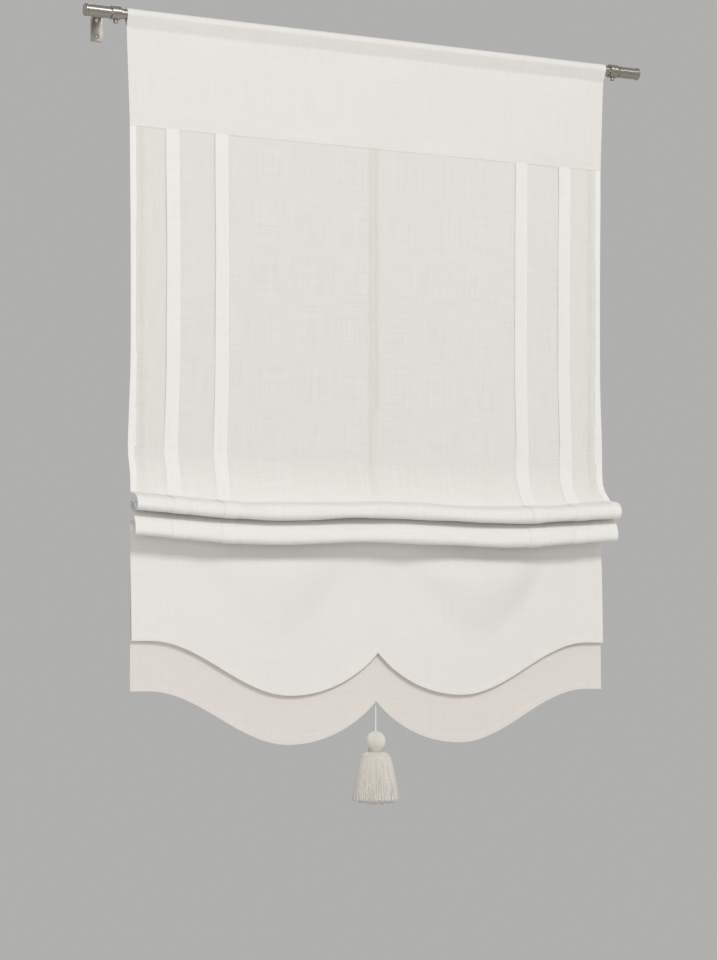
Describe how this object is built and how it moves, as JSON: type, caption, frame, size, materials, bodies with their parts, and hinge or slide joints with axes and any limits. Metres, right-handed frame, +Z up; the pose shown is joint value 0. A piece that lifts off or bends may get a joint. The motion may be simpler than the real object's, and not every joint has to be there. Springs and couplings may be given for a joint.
{
  "type": "roman blind",
  "caption": "Soft roman blind on a wall-mounted rod: plain header, sheer panel with sewn tucks, gathered folds, scalloped double skirt and a tasselled pull cord.",
  "frame": {"origin": "on the wall face, midway between the two bracket plates and level with the rod axis", "axes": "+X along the rod to the right as seen from the room, +Y into the wall, +Z up"},
  "size_m": [0.94, 0.1521, 1.2035],
  "materials": {
    "brushed_nickel": "brushed",
    "header_linen": "plain weave",
    "sheer_voile": "sheer",
    "fold_voile": "sheer, gathered",
    "tuck_linen": "plain weave",
    "skirt_linen": "plain weave",
    "tape_white": "woven tape",
    "cord_white": "braided",
    "ring_plastic": "gloss",
    "roller_brass": "knurled",
    "tassel_thread": "silky thread"
  },
  "bodies": {
    "rail": {"curtain_rod": "brushed_nickel", "left_end_cap": "brushed_nickel", "right_end_cap": "brushed_nickel", "left_bracket": "brushed_nickel", "right_bracket": "brushed_nickel", "left_clamp_screw": "brushed_nickel", "right_clamp_screw": "brushed_nickel", "header_band": "header_linen", "sheer_panel": "sheer_voile", "left_outer_tuck": "tuck_linen", "left_inner_tuck": "tuck_linen", "right_inner_tuck": "tuck_linen", "right_outer_tuck": "tuck_linen", "left_ring_tape": "tape_white", "centre_ring_tape": "tape_white", "right_ring_tape": "tape_white", "left_lift_cord": "cord_white", "centre_lift_cord": "cord_white", "right_lift_cord": "cord_white", "guide_rings": "ring_plastic", "header_cords": "cord_white", "cord_lock": "ring_plastic", "cord_tails": "cord_white"},
    "lift": {"fold_stack": "fold_voile", "stack_rings": "ring_plastic", "lift_knots": "cord_white", "upper_skirt": "skirt_linen", "lower_skirt": "skirt_linen"},
    "pull": {"cord_joiner": "ring_plastic", "pull_cord": "cord_white", "tassel_ball": "tassel_thread", "tassel_collar": "tassel_thread", "tassel_fringe": "tassel_thread"},
    "upper_ring_row": {"upper_ring_row": "ring_plastic"},
    "middle_ring_row": {"middle_ring_row": "ring_plastic"},
    "lower_ring_row": {"lower_ring_row": "ring_plastic"},
    "roller": {"lock_roller": "roller_brass"}
  },
  "joints": [
    {"name": "blind_lift", "type": "slide", "parent": "rail", "child": "lift", "axis": [0, 0, 1], "range_m": [0, 0.39], "deforming": ["sheer_panel", "left_outer_tuck", "left_inner_tuck", "right_inner_tuck", "right_outer_tuck", "left_ring_tape", "centre_ring_tape", "right_ring_tape", "left_lift_cord", "centre_lift_cord", "right_lift_cord"]},
    {"name": "pull_travel", "type": "slide", "parent": "rail", "child": "pull", "axis": [0, 0, -1], "range_m": [0, 0.39], "deforming": ["cord_tails"]},
    {"name": "upper_rings_lift", "type": "slide", "parent": "rail", "child": "upper_ring_row", "axis": [0, 0, 1], "range_m": [0, 0.09013]},
    {"name": "middle_rings_lift", "type": "slide", "parent": "rail", "child": "middle_ring_row", "axis": [0, 0, 1], "range_m": [0, 0.21302]},
    {"name": "lower_rings_lift", "type": "slide", "parent": "rail", "child": "lower_ring_row", "axis": [0, 0, 1], "range_m": [0, 0.33591]},
    {"name": "roller_release", "type": "slide", "parent": "rail", "child": "roller", "axis": [0, 0.5, 0.866], "range_m": [0, 0.0045]}
  ],
  "couplings": [
    {"joint": "pull_travel", "follows": "blind_lift", "ratio": 1},
    {"joint": "upper_rings_lift", "follows": "blind_lift", "ratio": 0.2311},
    {"joint": "middle_rings_lift", "follows": "blind_lift", "ratio": 0.5462},
    {"joint": "lower_rings_lift", "follows": "blind_lift", "ratio": 0.8613}
  ]
}
